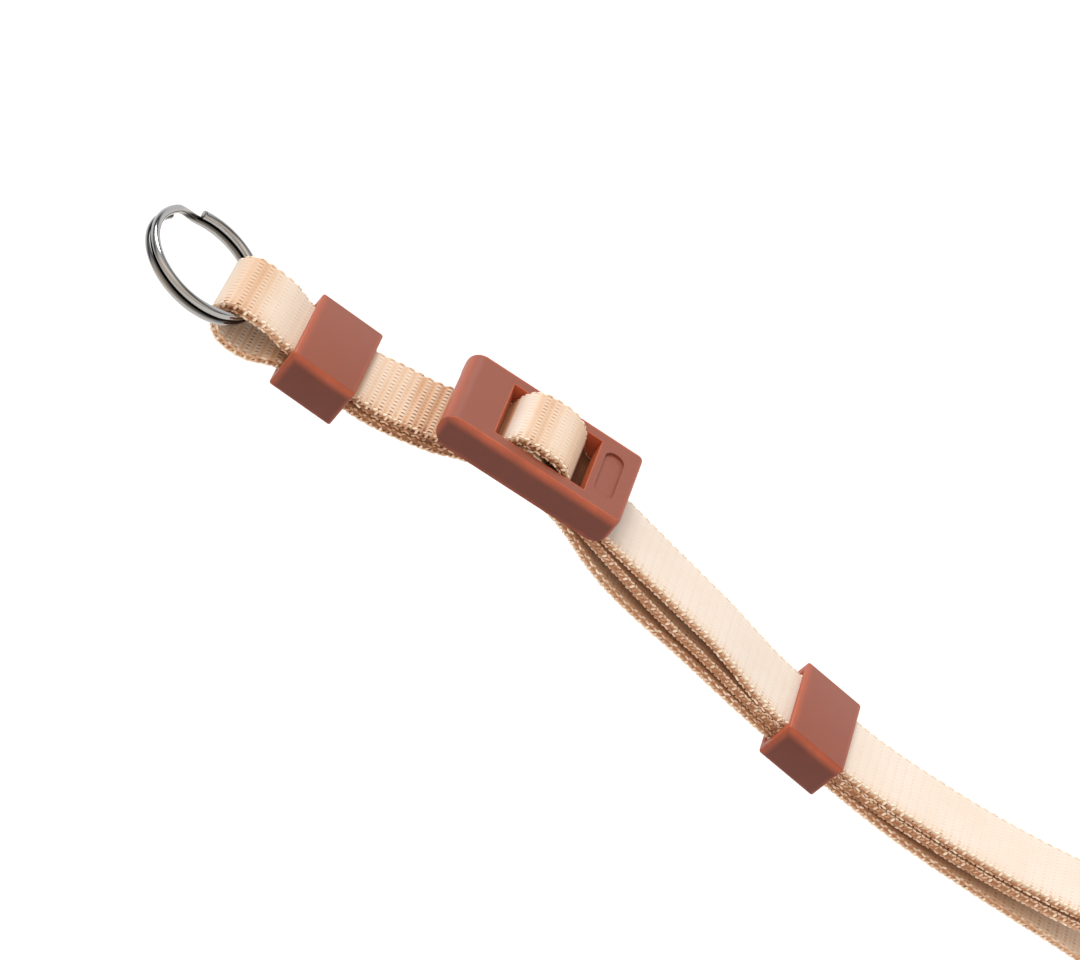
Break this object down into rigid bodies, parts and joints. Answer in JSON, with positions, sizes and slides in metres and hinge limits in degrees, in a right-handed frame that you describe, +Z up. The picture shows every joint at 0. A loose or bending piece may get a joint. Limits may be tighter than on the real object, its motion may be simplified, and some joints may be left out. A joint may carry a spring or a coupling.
{
  "type": "camera wrist strap",
  "caption": "Narrow woven wrist strap hung from a split ring, with moulded keeper sleeves, an adjusting slider buckle and an open loop for the wrist.",
  "frame": {"origin": "the place on the inside of the split ring where the camera's strap lug bears, and from which the strap hangs", "axes": "+X from the camera towards the wrist loop, +Z up, and +Y across the webbing"},
  "size_m": [0.2022, 0.0168, 0.1439],
  "materials": {
    "nylon_webbing": "woven nylon with a satin sheen",
    "moulded_plastic": "satin moulded plastic",
    "ring_metal": "polished"
  },
  "bodies": {
    "root": {"split_ring": "ring_metal", "keeper_ring_side": "moulded_plastic", "slider_buckle": "moulded_plastic", "keeper_wrist_side": "moulded_plastic", "webbing": "nylon_webbing"}
  },
  "joints": []
}
